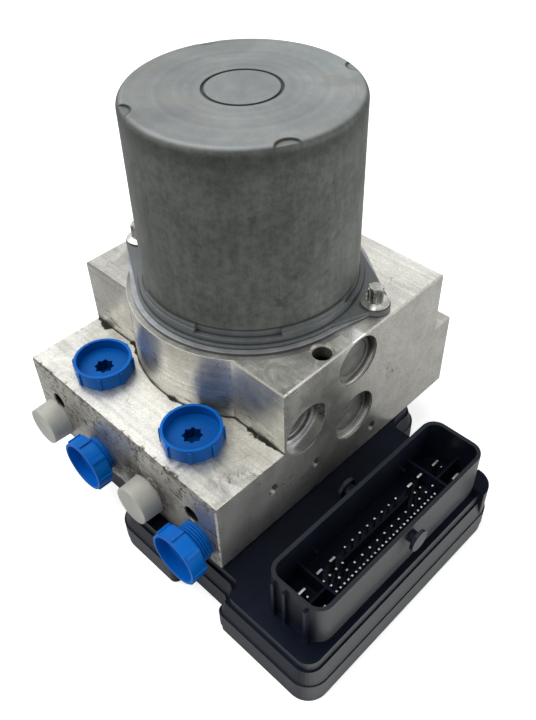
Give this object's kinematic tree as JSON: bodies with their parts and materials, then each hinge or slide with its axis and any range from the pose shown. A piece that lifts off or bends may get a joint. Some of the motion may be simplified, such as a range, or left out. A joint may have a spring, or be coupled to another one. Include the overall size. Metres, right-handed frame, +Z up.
{
  "type": "ABS brake module",
  "caption": "Brake pressure control module: a milled valve block with a round pump motor on top, a black control unit with an open connector shroud below, and plugs in its ports.",
  "frame": {"origin": "where the motor axis meets the underside of the control unit's lid", "axes": "+X along the port face towards the connector, -Y out of the port face, +Z up the motor axis"},
  "size_m": [0.1474, 0.1345, 0.149],
  "materials": {
    "block_aluminium": "milled, stained",
    "motor_zinc": "dull zinc, clouded",
    "plate_zinc": "satin zinc",
    "black_rubber": "matte",
    "screw_zinc": "zinc plated",
    "ferrite": "matte",
    "bronze": "sintered",
    "bright_steel": "ground",
    "brown_plastic": "moulded",
    "carbon": "matte",
    "spring_steel": "drawn wire",
    "contact_brass": "plain",
    "plug_steel": "dull",
    "piston_aluminium": "anodised",
    "coil_plastic": "moulded",
    "black_plastic": "moulded",
    "board_green": "solder mask",
    "component_black": "moulded",
    "tinned_contact": "tinned",
    "blue_plastic": "moulded",
    "white_plastic": "moulded",
    "core_steel": "laminated",
    "copper_wire": "enamelled wire"
  },
  "bodies": {
    "module": {"valve_block": "block_aluminium", "motor_can": "motor_zinc", "motor_end_plate": "plate_zinc", "motor_seal": "black_rubber", "motor_screws": "screw_zinc", "magnets": "ferrite", "upper_bush": "bronze", "pilot_bush": "bronze", "bearing_outer_race": "bright_steel", "brush_holder": "brown_plastic", "brushes": "carbon", "brush_springs": "spring_steel", "motor_contact_pins": "contact_brass", "contact_sleeve": "brown_plastic", "sealing_balls": "bright_steel", "pump_plug_left": "plug_steel", "pump_plug_right": "plug_steel", "pump_sleeves": "bright_steel", "pump_spring_left": "spring_steel", "pump_spring_right": "spring_steel", "accumulator_cap_left": "plug_steel", "accumulator_cap_right": "plug_steel", "accumulator_spring_left": "spring_steel", "accumulator_spring_right": "spring_steel", "damper_caps": "plug_steel", "snap_rings": "spring_steel", "valve_cartridges": "bright_steel", "valve_coils": "coil_plastic", "coil_pins": "contact_brass", "pressure_sensor": "bright_steel", "unit_housing": "black_plastic", "circuit_board": "board_green", "circuit_components": "component_black", "unit_lid": "black_plastic", "lid_seal": "black_rubber", "block_gasket": "black_rubber", "unit_screws": "screw_zinc", "connector_pins": "tinned_contact", "connector_blades": "tinned_contact", "inlet_plug_left": "blue_plastic", "inlet_plug_right": "blue_plastic", "port_plug_left": "blue_plastic", "port_plug_right": "blue_plastic", "port_cap_left": "white_plastic", "port_cap_right": "white_plastic"},
    "rotor": {"motor_shaft": "bright_steel", "armature_core": "core_steel", "armature_windings": "copper_wire", "commutator": "contact_brass", "bearing_inner_race": "bright_steel", "bearing_balls": "bright_steel", "eccentric_ring": "bright_steel", "needle_rollers": "bright_steel"},
    "pump_piston_left": {"pump_piston_left": "bright_steel"},
    "pump_piston_right": {"pump_piston_right": "bright_steel"},
    "accumulator_piston_left": {"accumulator_piston_left": "piston_aluminium", "accumulator_seal_left": "black_rubber"},
    "accumulator_piston_right": {"accumulator_piston_right": "piston_aluminium", "accumulator_seal_right": "black_rubber"}
  },
  "joints": [
    {"name": "rotor_spin", "type": "hinge", "parent": "module", "child": "rotor", "pos_m": [0, 0, 0.0692], "axis": [0, 0, 1], "continuous": true},
    {"name": "pump_piston_left_slide", "type": "slide", "parent": "module", "child": "pump_piston_left", "axis": [1, 0, 0], "range_m": [0, 0.0016], "deforming": ["pump_spring_left"]},
    {"name": "accumulator_piston_left_slide", "type": "slide", "parent": "module", "child": "accumulator_piston_left", "axis": [-1, 0, 0], "range_m": [0, 0.012], "stiffness_N_per_m": 2000, "springref_m": -0.008, "deforming": ["accumulator_spring_left"]},
    {"name": "pump_piston_right_slide", "type": "slide", "parent": "module", "child": "pump_piston_right", "axis": [-1, 0, 0], "range_m": [0, 0.0016], "deforming": ["pump_spring_right"]},
    {"name": "accumulator_piston_right_slide", "type": "slide", "parent": "module", "child": "accumulator_piston_right", "axis": [1, 0, 0], "range_m": [0, 0.012], "stiffness_N_per_m": 2000, "springref_m": -0.008, "deforming": ["accumulator_spring_right"]}
  ]
}
